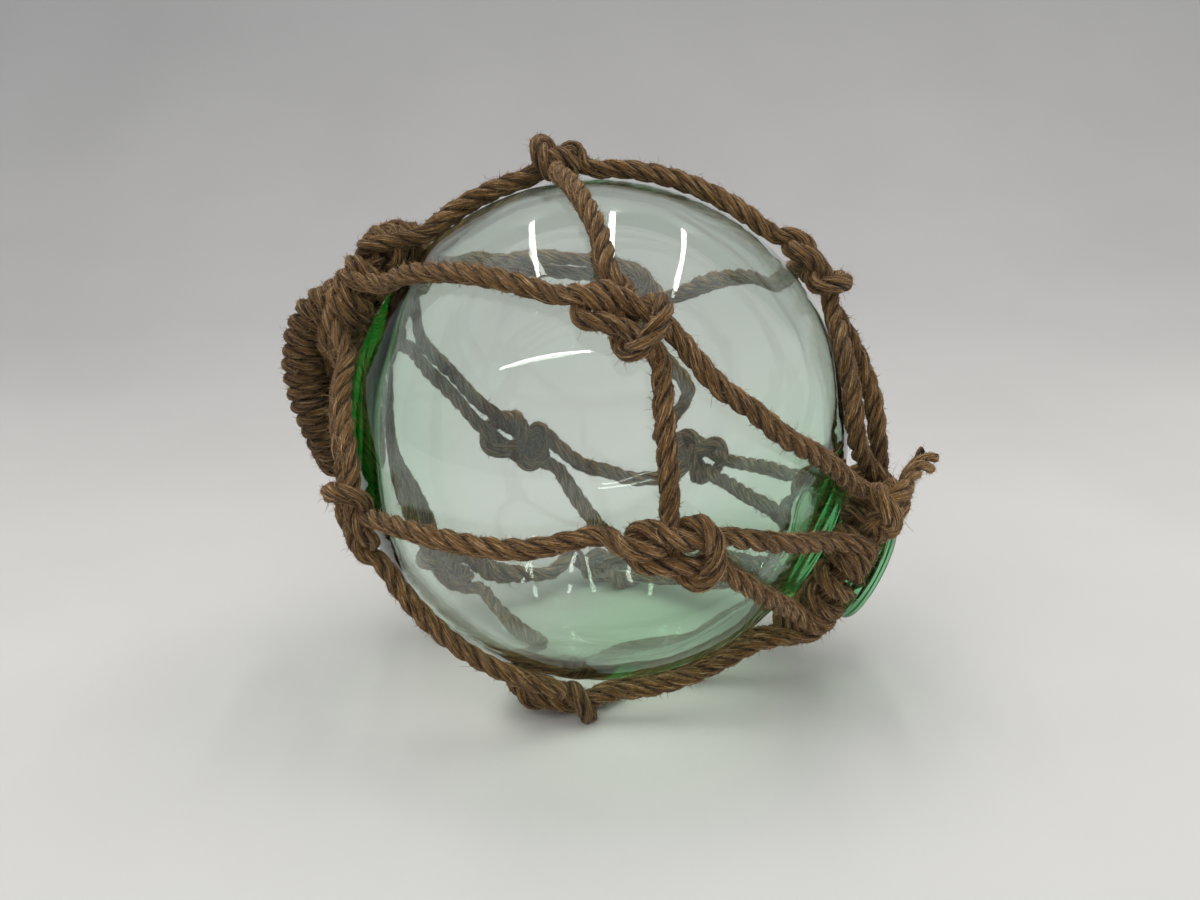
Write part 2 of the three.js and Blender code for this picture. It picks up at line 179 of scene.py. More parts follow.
HANDLE_LINE = [
    (-148, 8, 82), (-160, 5, 82), (-171, 4, 72), (-177, 5, 54), (-178.5, 6, 34), (-174, 8, 12),
    (-168, 13, -10), (-168, 28, -24), (-173, 44, -14), (-178, 51, 8), (-182, 52, 30),
    (-180, 50, 52), (-170, 46, 70), (-158, 40, 80), (-148, 36, 82),
]
TAIL_LINE = [
    (165, -60, -42), (171, -55, -40), (176.5, -47, -34), (181.5, -35, -25), (189, -21, -22),
    (202, -7.5, -20.5),
]
# The tail's rope, how far each strand stands out at its end, and from what part of it on.
TAIL = {"radius": 5.4, "lay": 44.0, "splay": (5.0, 1.0, 3.5), "frayed_from": 0.62}
STOPPER_AT = (163.5, -59.5, -32)
# The size of the stopper's loops across and outwards, and of the serving's turns round the handle.
STOPPER_KNOT = {"across": 5.4, "outwards": 6.6, "lay": 34.0}
SERVING = {"reach": 12.2, "lay": 26.0}

# ---------------------------------------------------------------- the studio, in metres and degrees

LAMP_RAY_COLOUR = (0.82, 0.785, 0.8, 1)     # what a lamp's ray keeps on its way through the glass
SWEEP_SHADE_WAY = (-0.06, 0.5, 0.5)               # the way along which painted shade darkens the sweep
# Light of the air: how it grows along a direction, its level at the horizon, and its least.
AIR_SLOPE, AIR_LEVEL, AIR_LEAST = (0.0, 0.1, 0.6), 0.42, 0.22
AIR_COLOUR = (0.98, 0.99, 1.0, 1)
SWEEP = {"half_width": 3.4, "front": -2.6, "bend_at": 0.75, "bend": 1.0, "top": 3.4}
# Strips of light above the float: name, x and y from its middle, length in metres, and turn.
STRIPS = (
    ("strip_left", -0.77, 1.0, 2.0, 90), ("strip_middle", 0.22, 1.0, 2.0, 90),
    ("strip_right", 1.17, 0.8, 2.0, 90), ("strip_front", -1.2, -1.8, 2.2, 0),
)
STRIP = {"up": 2.2, "width": 0.06, "watts": 9, "colour": (1.0, 0.98, 0.95)}
CAMERA = {
    "lens": 39.0, "sensor": 36.0, "pitch": 18.6, "roll": 1.27, "from_middle": (0.00065, -0.7550, 0.2415)}

# ---------------------------------------------------------------- settings


class FloatBallSettings(bpy.types.PropertyGroup):
    """Sizes and colour of the glass."""

    wall: bpy.props.FloatProperty(
        name="Wall", description="Usual thickness of the glass", default=3.2 * MM, unit="LENGTH")
    heel: bpy.props.FloatProperty(
        name="Heel", description="Extra thickness where glass pooled near the crown", default=7.5 * MM,
        unit="LENGTH")
    seal_pool: bpy.props.FloatProperty(
        name="Seal pool", description="Extra thickness of the glass round the seal", default=6.5 * MM,
        unit="LENGTH")
    ripple: bpy.props.FloatProperty(
        name="Ripple", description="Unevenness of the blown surfaces", default=0.7 * MM, unit="LENGTH")
    tint: bpy.props.StringProperty(
        name="Tint", description="Colour of thick glass, as hex", default="#5CDE8E")
    depth: bpy.props.FloatProperty(
        name="Tint density", description="Absorption per metre of glass", default=24.0)


class NetSettings(bpy.types.PropertyGroup):
    """Sizes and colours of the rope."""

    rope: bpy.props.FloatProperty(
        name="Rope", description="Diameter of the rope", default=12.3 * MM, unit="LENGTH")
    lay: bpy.props.FloatProperty(
        name="Lay", description="Length of one full turn of a strand", default=38 * MM, unit="LENGTH")
    squeeze: bpy.props.FloatProperty(
        name="Squeeze", description="Thickness of the rope in a knot, to its own", default=0.93)
    fuzz: bpy.props.IntProperty(
        name="Fuzz", description="Number of short fibre ends that stand off the rope", default=84000)
    loose_fibres: bpy.props.IntProperty(
        name="Loose fibres", description="Number of long fibres that stand off the rope", default=5200)
    pale: bpy.props.StringProperty(
        name="Pale fibre", description="Lightest colour, as hex", default="#E0BF92")
    fibre: bpy.props.StringProperty(name="Fibre", description="Main colour, as hex", default="#97703E")
    dark: bpy.props.StringProperty(name="Dark fibre", description="Darkest colour, as hex", default="#2A180A")
    # Painted shade: the near-black colour painted into the crevices where a rope's strands meet.
    groove_shade: bpy.props.StringProperty(
        name="Groove", description="Colour between strands, as hex", default="#0B0502")


class HandleSettings(bpy.types.PropertyGroup):
    """Sizes of the served handle."""

    cord: bpy.props.FloatProperty(
        name="Serving cord", description="Diameter of the serving", default=10 * MM, unit="LENGTH")
    pitch: bpy.props.FloatProperty(
        name="Pitch", description="From one turn of the serving to the next", default=8.4 * MM, unit="LENGTH")


# ---------------------------------------------------------------- places on the ball


def unit(v):
    return v / np.linalg.norm(v)


def direction(place):
    az, el = math.radians(place[0]), math.radians(place[1])
    return np.array([math.sin(az) * math.cos(el), -math.cos(az) * math.cos(el), math.sin(el)])


POLES = {"crown": direction(CROWN_AXIS), "seal": direction(SEAL_AXIS)}
RINGS = {"crown": CROWN_RING, "seal": SEAL_RING}


def place_of(name):
    return POLES[name] if name in POLES else direction(KNOTS[name]["at"])


def angle_between(a, b):
    return math.acos(max(-1.0, min(1.0, float(a @ b))))


def tangent_towards(at, target):
    return unit(target - at * float(target @ at))


def turned(v, axis, angle):
    c, s = math.cos(angle), math.sin(angle)
    return v * c + np.cross(axis, v) * s + axis * float(axis @ v) * (1 - c)


def between(a, b, part):
    angle = angle_between(a, b)
    return unit(a * math.sin((1 - part) * angle) + b * math.sin(part * angle))


def rope_distance(towards):
    """How far from the ball's centre a rope runs, rising from the glass to the seal's ring."""
    on_glass = BALL_RADIUS + ROPE_LIFT
    at_ring = math.hypot(SEAL_RING["radius"], SEAL_RING["along"])
    ring_angle = math.degrees(math.atan2(SEAL_RING["radius"], SEAL_RING["along"]))
    angle = math.degrees(angle_between(towards, POLES["seal"]))
    rise = min(1.0, max(0.0, (SEAL_LIFT_ANGLE - angle) / (SEAL_LIFT_ANGLE - ring_angle)))
    return on_glass + (at_ring - on_glass) * rise ** 1.6


def ring_frame(axis):
    across = unit(np.cross([0.0, 0.0, 1.0], axis))
    return across, np.cross(axis, across)


def on_ring(pole, angle):
    """The way out from a ring's axis at an angle, and the middle of its core there."""
    across, along = ring_frame(POLES[pole])
    outward = across * math.cos(angle) + along * math.sin(angle)
    return outward, outward * RINGS[pole]["radius"] + POLES[pole] * RINGS[pole]["along"]


def knot_frame(name):
    knot = KNOTS[name]
    out = direction(knot["at"])
    along = tangent_towards(out, place_of(knot.get("also", knot["pair"])))
    along = turned(along, out, math.radians(knot.get("turn", 0)))
    return out, along, np.cross(out, along) * knot["side"]


def knot_point(name, place):
    out, along, across = knot_frame(name)
    u, v, h = place
    shrink, shift, flat = KNOTS[name].get("close", (1, 0, 1))
    u, h = shrink * u + shift, 7 + flat * (h - 7) if h > 7 else h
    reach = math.hypot(u, v)
    if reach == 0:
        return out * (BALL_RADIUS + h)
    angle = reach / (BALL_RADIUS + 7.2)
    sideways = along * (u / reach) + across * (v / reach)
    return (out * math.cos(angle) + sideways * math.sin(angle)) * (BALL_RADIUS + h)


def ring_legs(pole):
    """The ropes that end on a ring: (knot, leg) to the angle of its hitch."""
    axis = POLES[pole]
    across, along = ring_frame(axis)
    legs = []
    for name, knot in KNOTS.items():
        out, _, sideways = knot_frame(name)
        if knot["pair"] == pole:
            for leg, side in (("a", 0.05), ("b", -0.05)):
                port = out + sideways * side
                legs.append((math.atan2(port @ along, port @ across), name, leg))
        angle = math.atan2(out @ along, out @ across)
        if knot.get("through") == pole:
            legs.append((angle, name, "through"))
        if knot.get("also") == pole:
            legs.append((angle, name, "a"))
    if pole == "seal":
        return {(n, leg): math.radians(SEAL_HITCHES[f"{n}-{leg}"]) for _, n, leg in legs}
    legs.sort()
    spacing = 2 * math.pi / len(legs)
    shift = sum(angle - i * spacing for i, (angle, _, _) in enumerate(legs)) / len(legs)
    return {(n, leg): shift + i * spacing for i, (_, n, leg) in enumerate(legs)}


LEGS = {pole: ring_legs(pole) for pole in POLES}

# ---------------------------------------------------------------- paths of the ropes


def knot_points(name, places, squeeze):
    return [(*knot_point(name, place), squeeze) for place in places]


def bight_points(name, squeeze):
    back = [(u, -v, h) for u, v, h in reversed(BIGHT_LEG)]
    return knot_points(name, [*BIGHT_LEG, BIGHT_END, *back], squeeze)


def over_the_ball(start, end, key):
    """Points on the way over the glass from one rope point to another, ends left out."""
    a, b = unit(np.array(start[:3])), unit(np.array(end[:3]))
    way = list(BY_WAY_OF.get(key, []))
    if len(way) > 1 and angle_between(direction(way[0]), a) > angle_between(direction(way[-1]), a):
        way.reverse()
    places = [direction(place) for place in way]
    stops = [a, *places, b]
    lifts = [0.0, *(place[2] if len(place) > 2 else 0.0 for place in way), 0.0]
    points = []
    for i in range(1, len(stops)):
        length = angle_between(stops[i - 1], stops[i]) * BALL_RADIUS
        steps = max(2, round(length / 22)) if not places else max(1, round(length / 28))
        for k in range(1 if i == 1 else 0, steps):
            towards = between(stops[i - 1], stops[i], k / steps)
            lift = lifts[i - 1] * (1 - k / steps) + lifts[i] * k / steps
            points.append((*(towards * (rope_distance(towards) + lift)), 1.0))
    return points


def hitch_points(pole, angle, hand):
    """A rope that comes to a ring from outside, over it, and round its core."""
    points = []
    for k in range(HITCH["steps"] + 1):
        part = k / HITCH["steps"]
        phi = math.radians(HITCH["start"] + 360 * HITCH["turns"] * part)
        aside = hand * (2 * part - 1) * HITCH["spread"] / RINGS[pole]["radius"]
        outward, core = on_ring(pole, angle + aside)
        reach = HITCH["reach"] - HITCH["tuck"] * max(0.0, (part - 0.85) / 0.15)
        points.append((*(core + reach * (outward * math.cos(phi) + POLES[pole] * math.sin(phi))), TIGHT))
    return points


def wound(start, end, reach, pitch):
    """Turns of rope round the straight way between two points."""
    start, end = np.array(start, float), np.array(end, float)
    length = np.linalg.norm(end - start)
    way = (end - start) / length
    across = unit(np.cross(way, start))
    up = np.cross(way, across)
    turns = length / pitch
    points = []
    for part in np.linspace(0, 1, int(10 * turns) + 1):
        phi = 2 * math.pi * turns * part
        middle = start + (end - start) * part
        points.append((*(middle + reach * (across * math.cos(phi) + up * math.sin(phi))), TIGHT))
    return points


def distances(points):
    """How far along a path each of its points is."""
    return np.concatenate([[0], np.cumsum(np.linalg.norm(np.diff(points, axis=0), axis=1))])


def path_through(points, step):
    """Evenly spaced points and squeezes along a smooth curve through control points."""
    p = np.array(points, float)
    p = np.vstack([2 * p[0] - p[1], p, 2 * p[-1] - p[-2]])
    gaps = np.linalg.norm(np.diff(p[:, :3], axis=0), axis=1) ** 0.5
    knots = np.concatenate([[0], np.cumsum(np.maximum(gaps, 1e-6))])
    fine = []
    for i in range(1, len(p) - 2):
        t0, t1, t2, t3 = knots[i - 1:i + 3]
        t = np.linspace(t1, t2, 24, endpoint=False)[:, None]
        a1 = (t1 - t) / (t1 - t0) * p[i - 1] + (t - t0) / (t1 - t0) * p[i]
        a2 = (t2 - t) / (t2 - t1) * p[i] + (t - t1) / (t2 - t1) * p[i + 1]
        a3 = (t3 - t) / (t3 - t2) * p[i + 1] + (t - t2) / (t3 - t2) * p[i + 2]
        b1 = (t2 - t) / (t2 - t0) * a1 + (t - t0) / (t2 - t0) * a2
        b2 = (t3 - t) / (t3 - t1) * a2 + (t - t1) / (t3 - t1) * a3
        fine.append((t2 - t) / (t2 - t1) * b1 + (t - t1) / (t2 - t1) * b2)
    fine = np.vstack([*fine, p[-2:-1]])
    lengths = distances(fine[:, :3])
    count = max(3, int(lengths[-1] / step) + 1)
    at = np.linspace(0, lengths[-1], count)
    out = np.stack([np.interp(at, lengths, fine[:, c]) for c in range(4)], axis=1)
    for _ in range(3):
        out[1:-1] = 0.25 * out[:-2] + 0.5 * out[1:-1] + 0.25 * out[2:]
    return out


def clear_of_glass(path, radius):
    """Lifts a path's points off the round of the ball, by the rope's own half thickness."""
    distance = np.linalg.norm(path[:, :3], axis=1)
    least = BALL_RADIUS + radius * path[:, 3] * 0.97
    lift = np.maximum(1.0, least / distance)
    path[:, :3] *= lift[:, None]
    return path


def rope_path(points, radius):
    """A rope's path through control points, clear of the glass."""
    return clear_of_glass(path_through(points, PATH_STEP), radius)


def moving_frames(points):
    """Tangents and two normals that don't twist along a path."""
    tangents = np.gradient(points, axis=0)
    tangents /= np.linalg.norm(tangents, axis=1)[:, None]
    start = np.array([0.0, 0.0, 1.0]) if abs(tangents[0][2]) < 0.9 else np.array([1.0, 0.0, 0.0])
    normal = unit(np.cross(tangents[0], start))
    normals = [normal]
    for i in range(1, len(points)):
        normal = normal - tangents[i] * float(normal @ tangents[i])
        normal = unit(normal)
        normals.append(normal)
    normals = np.array(normals)
    return tangents, normals, np.cross(tangents, normals)


def store(mesh, key, rows):
    """Keeps a number or a vector for each point of a mesh, for its material to read."""
    kind, part = ("FLOAT_VECTOR", "vector") if rows.ndim == 2 else ("FLOAT", "value")
    mesh.attributes.new(key, kind, "POINT").data.foreach_set(part, rows.ravel())


def link_piece(name, data):
    """An object of a mesh, light or camera, in the scene."""
    piece = bpy.data.objects.new(name, data)
    bpy.context.scene.collection.objects.link(piece)
    return piece


class RopeMesh:
    """Gathers laid ropes into one mesh, with what its material reads at each corner."""

    def __init__(self):
        self.points, self.faces = [], []
        self.strand, self.crest, self.tone, self.fibre = [], [], [], []
        self.count = 0

    def add_tube(self, rings, along, across_y, across_z, crest, tone, fibre):
        steps, sides, _ = rings.shape
        base = self.count
        self.points.append(rings.reshape(-1, 3))
        self.strand.append(np.stack([along, across_y, across_z], axis=-1).reshape(-1, 3))
        self.crest.append(crest.reshape(-1))
        self.tone.append(np.full(steps * sides, tone))
        self.fibre.append(np.repeat(fibre, sides, axis=0))
        i, j = np.meshgrid(np.arange(steps - 1), np.arange(sides), indexing="ij")
        nxt = (j + 1) % sides
        here, there = i * sides, (i + 1) * sides
        quads = np.stack([here + j, here + nxt, there + nxt, there + j], axis=-1)
        self.faces.extend((quads.reshape(-1, 4) + base).tolist())
        self.faces.append([base + k for k in reversed(range(sides))])
        self.faces.append([base + (steps - 1) * sides + k for k in range(sides)])
        self.count += steps * sides

    def add_rope(self, path, radius, lay, seed, tone, sides=ROPE_SIDES, phase=0.0, splay=None):
        """A rope of twisted strands along a path of (x, y, z, squeeze) rows, in millimetres."""
        rng = np.random.default_rng(seed)
        points, squeeze = path[:, :3], path[:, 3]
        tangents, normals, binormals = moving_frames(points)
        lengths = distances(points)
        strand_radius = radius * STRAND_SHARE
        helix = radius - strand_radius
        waves = rng.uniform(0, 6.28, 4)
        uneven = 1 + 0.035 * np.sin(lengths / 17 + waves[0]) + 0.03 * np.sin(lengths / 7.3 + waves[1])
        theta = np.linspace(0, 2 * np.pi, sides, endpoint=False)[None, :]
        turn = 2 * np.pi * lengths / lay + phase + 0.18 * np.sin(lengths / 41 + waves[2])
        for k in range(STRANDS):
            phi = turn + 2 * np.pi * k / STRANDS
            own = uneven * (1 + 0.05 * np.sin(lengths / 11 + waves[3] + 2 * k)) * squeeze
            spread = np.zeros_like(lengths) if splay is None else splay(lengths, k)
            out = normals * np.cos(phi)[:, None] + binormals * np.sin(phi)[:, None]
            side = -normals * np.sin(phi)[:, None] + binormals * np.cos(phi)[:, None]
            centre = points + out * (helix * squeeze + spread)[:, None]
            way = tangents + side * (helix * squeeze * 2 * np.pi / lay)[:, None]
            way /= np.linalg.norm(way, axis=1)[:, None]
            flat = np.cross(way, out)
            r = (strand_radius * own)[:, None]
            c, s = np.cos(theta), np.sin(theta)
            ring = (centre[:, None, :] + (r * c * 0.94)[..., None] * out[:, None, :]
                    + (r * s * 1.08)[..., None] * flat[:, None, :])
            ring += rng.normal(0, 0.13, ring.shape)
            yarn = theta + lengths[:, None] / 6.4
            along = np.repeat((lengths + 211.0 * k + 37.0 * seed)[:, None], sides, axis=1) * MM
            # crest is 1 on a strand's outer side and 0 on its inner side, where it meets the other strands;
            # the material paints shade where it is low.
            crest = np.clip((0.5 + 0.5 * c) * np.ones_like(r), 0, 1)
            self.add_tube(ring, along, np.cos(yarn) * r * MM, np.sin(yarn) * r * MM, crest,
                          tone + 0.04 * (k - 1), tangents)

    def add_plain(self, path, radius, sides, tone):
        """A plain round tube along a path."""
        points = path[:, :3]
        tangents, normals, binormals = moving_frames(points)
        lengths = distances(points)
        theta = np.linspace(0, 2 * np.pi, sides, endpoint=False)[None, :]
        r = np.full((len(lengths), 1), radius)
        ring = (points[:, None, :] + (r * np.cos(theta))[..., None] * normals[:, None, :]
                + (r * np.sin(theta))[..., None] * binormals[:, None, :])
        along = np.repeat(lengths[:, None], sides, axis=1) * MM
        self.add_tube(ring, along, np.cos(theta) * r * MM, np.sin(theta) * r * MM, np.ones_like(r * theta),
                      tone, tangents)

    def build(self, name, material):
        points = (np.vstack(self.points) + BALL_CENTRE) * MM
        points[:, 2] = np.maximum(points[:, 2], 0.0002)
        mesh = bpy.data.meshes.new(name)
        mesh.from_pydata(points.tolist(), [], self.faces)
        rows = {"strand": self.strand, "crest": self.crest, "tone": self.tone, "fibre": self.fibre}
        for key, values in rows.items():
            store(mesh, key, np.concatenate(values))
        mesh.shade_smooth()
        piece = link_piece(name, mesh)
        mesh.materials.append(material)
        return piece


# ---------------------------------------------------------------- materials


def colour(text):
    """Linear colour from an sRGB hex code."""
    parts = [int(text[i:i + 2], 16) / 255 for i in (1, 3, 5)]
    return tuple((c / 12.92 if c <= 0.04045 else ((c + 0.055) / 1.055) ** 2.4) for c in parts) + (1.0,)


def add_node(material, kind, links=None, **values):
    """Adds a node, sets its properties or sockets by name, and links sockets to it."""
    node = material.node_tree.nodes.new(kind)
    for key, value in values.items():
        if hasattr(node, key):
            setattr(node, key, value)
        else:
            node.inputs[key.replace("_", " ")].default_value = value
    for key, socket in (links or {}).items():
        target = node.inputs[key]
        material.node_tree.links.new(socket, target)
    return node


def attribute(material, name, socket="Fac"):
    """What a mesh keeps for each of its points under a name."""
    return add_node(material, "ShaderNodeAttribute", attribute_name=name).outputs[socket]


def new_material(name):
    material = bpy.data.materials.new(name)
    material.use_nodes = True
    material.node_tree.nodes.clear()
    return material


def ramp(material, source, stops):
    node = add_node(material, "ShaderNodeValToRGB", {"Fac": source})
    elements = node.color_ramp.elements
    while len(elements) < len(stops):
        elements.new(0.5)
    for element, (position, value) in zip(elements, stops):
        element.position = position
        element.color = value
    return node.outputs["Color"]


def glass_material(settings):
    material = new_material("sea_green_glass")
    where = add_node(material, "ShaderNodeTexCoord").outputs["Object"]
    scratch = add_node(material, "ShaderNodeTexNoise", {"Vector": where},
                       Scale=60.0, Detail=4.0, Roughness=0.5)
    bump = add_node(material, "ShaderNodeBump", {"Height": scratch.outputs["Fac"]},
                    Strength=0.05, Distance=0.0004)
    shader = add_node(material, "ShaderNodeBsdfPrincipled", {"Normal": bump.outputs["Normal"]},
                      Roughness=0.0, IOR=1.5)
    shader.inputs["Base Color"].default_value = (1, 1, 1, 1)
    shader.inputs["Transmission Weight"].default_value = 1.0
    body = add_node(material, "ShaderNodeVolumeAbsorption", Density=settings.depth)
    body.inputs["Color"].default_value = colour(settings.tint)
    lamp_ray = add_node(material, "ShaderNodeLightPath").outputs["Is Shadow Ray"]
    passed = add_node(material, "ShaderNodeBsdfTransparent")
    passed.inputs["Color"].default_value = LAMP_RAY_COLOUR
    both = add_node(material, "ShaderNodeMixShader",
                    {0: lamp_ray, 1: shader.outputs["BSDF"], 2: passed.outputs["BSDF"]})
    add_node(material, "ShaderNodeOutputMaterial",
             {"Surface": both.outputs["Shader"], "Volume": body.outputs["Volume"]})
    return material


def times(material, base, factor, amount):
    """Multiplies one colour by another."""
    node = add_node(material, "ShaderNodeMix", data_type="RGBA", blend_type="MULTIPLY")
    node.inputs["Factor"].default_value = amount
    link = material.node_tree.links.new
    link(base, node.inputs[6])
    link(factor, node.inputs[7])
    return node.outputs[2]


def streaks(material, strand, along, across, detail):
    """Noise drawn out along a strand, in cycles to the metre."""
    place = add_node(material, "ShaderNodeMapping", {"Vector": strand})
    place.inputs["Scale"].default_value = (along, across, across)
    noise = add_node(material, "ShaderNodeTexNoise", {"Vector": place.outputs["Vector"]},
                     Scale=1.0, Detail=detail, Roughness=0.6)
    return noise.outputs["Fac"]


def rope_material(settings, name, shade):
    material = new_material(name)
    strand = attribute(material, "strand", "Vector")
    crest = attribute(material, "crest")
    tone = attribute(material, "tone")
    where = add_node(material, "ShaderNodeTexCoord").outputs["Object"]
    fibres = streaks(material, strand, 120.0, 1900.0, 4.0)
    clumps = streaks(material, strand, 60.0, 700.0, 3.0)
    parts = add_node(material, "ShaderNodeSeparateXYZ", {"Vector": strand})
    angle = add_node(material, "ShaderNodeMath", {0: parts.outputs["Z"], 1: parts.outputs["Y"]},
                     operation="ARCTAN2")
    ridge = add_node(material, "ShaderNodeMath", {0: angle.outputs["Value"]}, operation="MULTIPLY")
    ridge.inputs[1].default_value = YARNS
    ridge = add_node(material, "ShaderNodeMath", {0: ridge.outputs["Value"]}, operation="COSINE")
    ridge = ridge.outputs["Value"]
    # Painted shade between the yarns: the rope's colour is darkened in the troughs between yarn ridges.
    yarn = ramp(material, ridge, [(0.0, (0.5, 0.5, 0.5, 1)), (0.45, (1, 1, 1, 1))])
    base = ramp(material, fibres, [
        (0.38, colour(settings.dark)), (0.46, colour(settings.fibre)), (0.54, colour(settings.fibre)),
        (0.64, colour(settings.pale))])
    broad = ramp(material, clumps, [
        (0.34, (0.4, 0.37, 0.33, 1)), (0.5, (0.95, 0.93, 0.9, 1)), (0.64, (1.36, 1.33, 1.27, 1))])
    patches = add_node(material, "ShaderNodeTexNoise", {"Vector": where},
                       Scale=30.0, Detail=3.0, Roughness=0.6)
    blotch = ramp(material, patches.outputs["Fac"], [
        (0.34, (0.66, 0.64, 0.6, 1)), (0.66, (1.12, 1.1, 1.06, 1))])
    toned = times(material, times(material, times(material, base, broad, 0.85), blotch, 0.8), yarn, 0.6)
    brighter = add_node(material, "ShaderNodeMapRange", {"Value": tone})
    brighter.inputs["To Min"].default_value = 0.62 * shade
    brighter.inputs["To Max"].default_value = 1.38 * shade
    toner = add_node(material, "ShaderNodeVectorMath", {0: toned, "Scale": brighter.outputs["Result"]},
                     operation="SCALE")
    # Painted shade in the crevices between strands: towards each strand's inner side the colour goes to the
    # groove shade.
    groove_shade_mask = ramp(material, crest, [(0.24, (0, 0, 0, 1)), (0.8, (1, 1, 1, 1))])
    finished = add_node(material, "ShaderNodeMix", data_type="RGBA", blend_type="MIX")
    link = material.node_tree.links.new
    link(groove_shade_mask, finished.inputs["Factor"])
    finished.inputs[6].default_value = colour(settings.groove_shade)
    link(toner.outputs["Vector"], finished.inputs[7])
    fine = add_node(material, "ShaderNodeMath", {0: fibres, 1: clumps}, operation="ADD")
    height = add_node(material, "ShaderNodeMath", {0: ridge, 2: fine.outputs["Value"]},
                      operation="MULTIPLY_ADD")
    height.inputs[1].default_value = 0.16
    bump = add_node(material, "ShaderNodeBump", {"Height": height.outputs["Value"]},
                    Strength=1.0, Distance=0.0016)
    shader = add_node(material, "ShaderNodeBsdfPrincipled",
                      {"Base Color": finished.outputs[2], "Normal": bump.outputs["Normal"]}, Roughness=0.84)
    shader.inputs["Sheen Weight"].default_value = 0.12
    shader.inputs["Sheen Roughness"].default_value = 0.5
    shader.inputs["Specular IOR Level"].default_value = 0.25
    add_node(material, "ShaderNodeOutputMaterial", {"Surface": shader.outputs["BSDF"]})
    return material


def fibre_material():
    material = new_material("loose_fibre")
    shade = ramp(material, attribute(material, "tone"), [
        (0.12, colour("#1C1008")), (0.4, colour("#7C5A34")), (1.0, colour("#C9A87E"))])
    shader = add_node(material, "ShaderNodeBsdfPrincipled", {"Base Color": shade}, Roughness=0.7)
    shader.inputs["Specular IOR Level"].default_value = 0.25
    add_node(material, "ShaderNodeOutputMaterial", {"Surface": shader.outputs["BSDF"]})
    return material


def stage_material():
    material = new_material("pale_sweep")
    where = add_node(material, "ShaderNodeTexCoord").outputs["Object"]
    noise = add_node(material, "ShaderNodeTexNoise", {"Vector": where}, Scale=3.0, Detail=3.0)
    far = add_node(material, "ShaderNodeVectorMath", {0: where}, operation="DOT_PRODUCT")
    far.inputs[1].default_value = SWEEP_SHADE_WAY
    floor = ramp(material, noise.outputs["Fac"], [(0.35, colour("#D9D8D5")), (0.65, colour("#DFDEDB"))])
    # Painted shade: the floor's back and the sweep are darkened from white to half, towards the sweep's top,
    # back and left.
    wall = ramp(material, far.outputs["Value"], [
        (0.03, (1, 1, 1, 1)), (0.5, (0.66, 0.66, 0.67, 1)), (1.0, (0.5, 0.5, 0.52, 1))])
    shade = times(material, floor, wall, 1.0)
    shader = add_node(material, "ShaderNodeBsdfPrincipled", {"Base Color": shade}, Roughness=0.6)
    add_node(material, "ShaderNodeOutputMaterial", {"Surface": shader.outputs["BSDF"]})
    return material


# ---------------------------------------------------------------- operators


def deselect_all():
    for piece in bpy.context.selected_objects:
        piece.select_set(False)


def settle(piece, slot, *nodes):
    """Puts a finished piece on the frame's body and hides the nodes it stands for. Its slot is not used."""
    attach(piece, "root")
    if nodes:
        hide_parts(*nodes)


